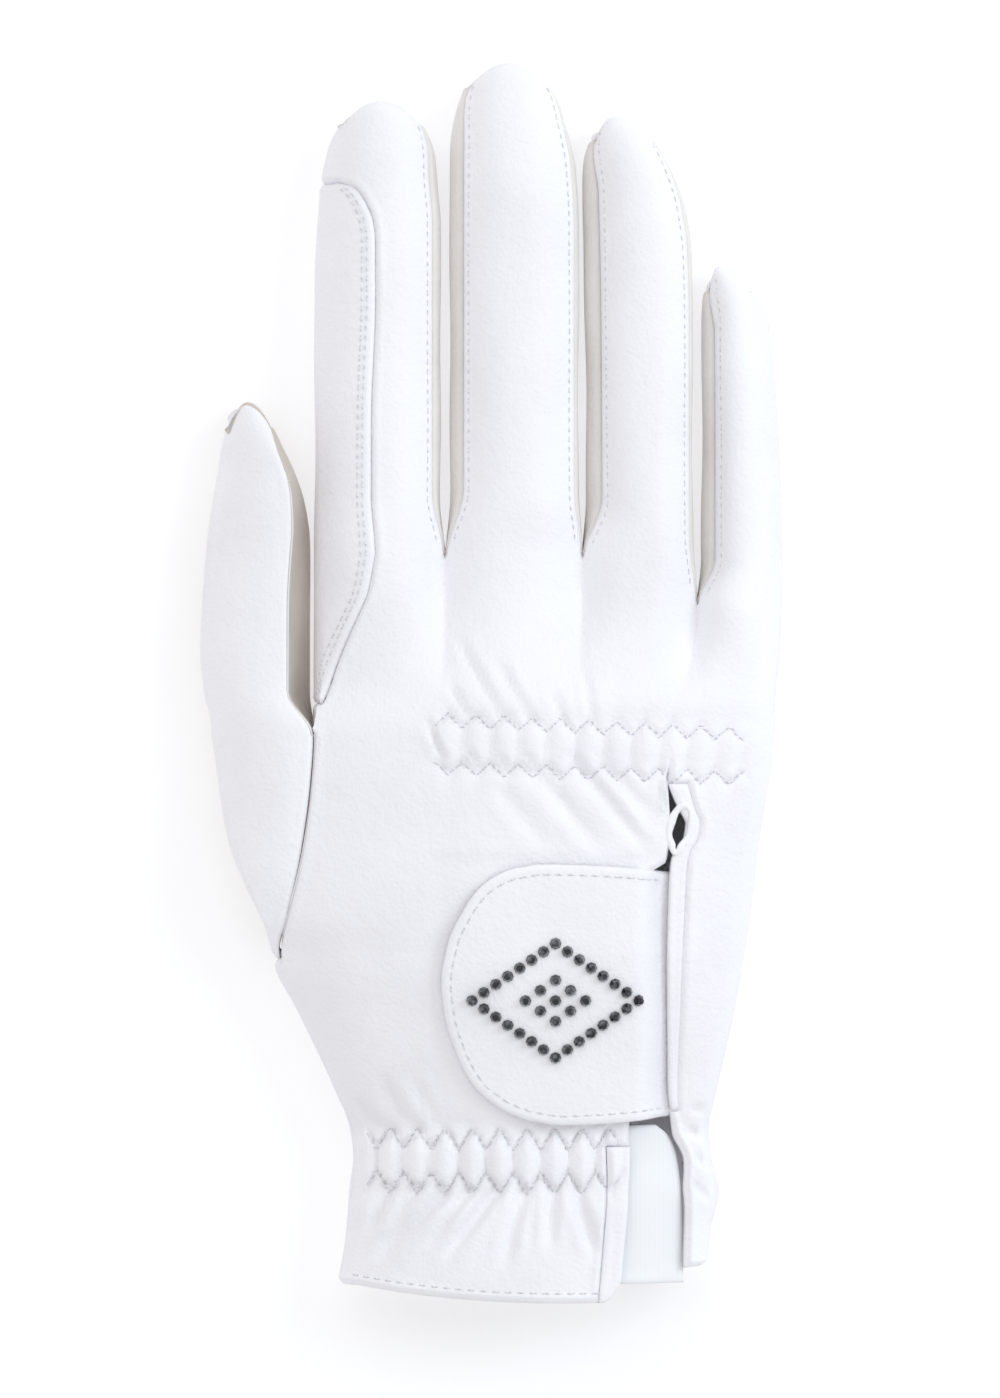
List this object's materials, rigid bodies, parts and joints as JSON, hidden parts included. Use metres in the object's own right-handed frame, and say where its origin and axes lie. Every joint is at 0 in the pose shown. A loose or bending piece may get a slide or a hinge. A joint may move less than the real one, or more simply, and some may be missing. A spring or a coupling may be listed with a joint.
{
  "type": "riding glove",
  "caption": "Right-hand horse riding glove in white leather, with a closure tab over a gathered wrist, a rein patch on the index finger and dark stones on the tab.",
  "frame": {"origin": "under the middle of the glove, on the surface that it lies on", "axes": "+Y towards the fingertips, +Z out of the back of the hand, the thumb on the -X side"},
  "size_m": [0.1128, 0.239, 0.03],
  "materials": {
    "white_leather": "matte, soft",
    "white_stretch": "matte knit",
    "dark_crystal": "cut and polished"
  },
  "bodies": {
    "root": {"back_panel": "white_leather", "palm_panel": "white_leather", "thumb_back": "white_leather", "thumb_front": "white_leather", "fourchette_index_middle": "white_leather", "fourchette_middle_ring": "white_leather", "fourchette_ring_little": "white_leather", "index_side_panel": "white_leather", "slit_strip": "white_leather", "cuff_facing": "white_leather", "closure_tab": "white_leather", "wrist_gusset": "white_stretch", "crystal_01": "dark_crystal", "crystal_02": "dark_crystal", "crystal_03": "dark_crystal", "crystal_04": "dark_crystal", "crystal_05": "dark_crystal", "crystal_06": "dark_crystal", "crystal_07": "dark_crystal", "crystal_08": "dark_crystal", "crystal_09": "dark_crystal", "crystal_10": "dark_crystal", "crystal_11": "dark_crystal", "crystal_12": "dark_crystal", "crystal_13": "dark_crystal", "crystal_14": "dark_crystal", "crystal_15": "dark_crystal", "crystal_16": "dark_crystal", "crystal_17": "dark_crystal", "crystal_18": "dark_crystal", "crystal_19": "dark_crystal", "crystal_20": "dark_crystal", "crystal_21": "dark_crystal", "crystal_22": "dark_crystal", "crystal_23": "dark_crystal", "crystal_24": "dark_crystal", "crystal_25": "dark_crystal", "crystal_26": "dark_crystal", "crystal_27": "dark_crystal", "crystal_28": "dark_crystal", "crystal_29": "dark_crystal", "crystal_30": "dark_crystal", "crystal_31": "dark_crystal", "crystal_32": "dark_crystal", "crystal_33": "dark_crystal", "crystal_34": "dark_crystal", "crystal_35": "dark_crystal", "crystal_36": "dark_crystal", "crystal_37": "dark_crystal"}
  },
  "joints": []
}
